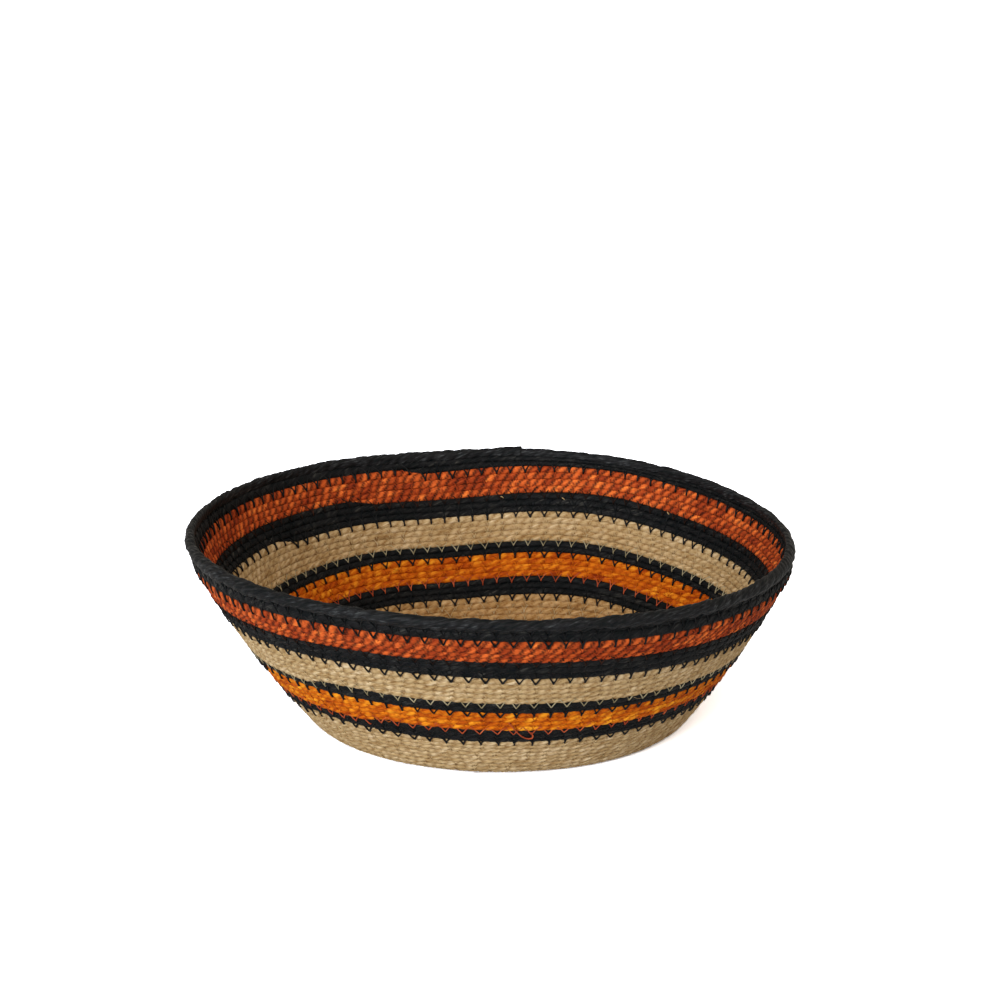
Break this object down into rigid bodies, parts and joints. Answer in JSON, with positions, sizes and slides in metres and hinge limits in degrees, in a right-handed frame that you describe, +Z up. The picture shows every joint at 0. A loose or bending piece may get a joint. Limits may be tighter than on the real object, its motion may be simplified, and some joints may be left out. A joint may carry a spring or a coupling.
{
  "type": "kiondo basket",
  "caption": "Round flaring bowl basket of coiled and sewn seagrass cord, striped in natural, black, orange and rust, with a thick black rolled rim.",
  "frame": {"origin": "on the floor, under the middle of the bowl's box", "axes": "+Z up out of the bowl's mouth, -Y towards the side that the picture shows, +X to the right of that view"},
  "size_m": [0.3322, 0.3374, 0.1092],
  "materials": {
    "natural_seagrass": "dry pale straw, faintly fibrous, matte",
    "black_seagrass": "dyed black, fibrous, soft satin",
    "orange_seagrass": "dyed orange, fibrous, matte",
    "rust_seagrass": "dyed rust red with orange and brown flecks, matte",
    "rim_seagrass": "thick rolled black cord with a soft grey sheen"
  },
  "bodies": {
    "root": {"floor_cord": "natural_seagrass", "heel_cord": "natural_seagrass", "lower_black_cord": "black_seagrass", "orange_cord": "orange_seagrass", "upper_black_cord": "black_seagrass", "natural_cord": "natural_seagrass", "wide_black_cord": "black_seagrass", "rust_cord": "rust_seagrass", "rim_row_cord": "black_seagrass", "rim_cord": "rim_seagrass"}
  },
  "joints": []
}
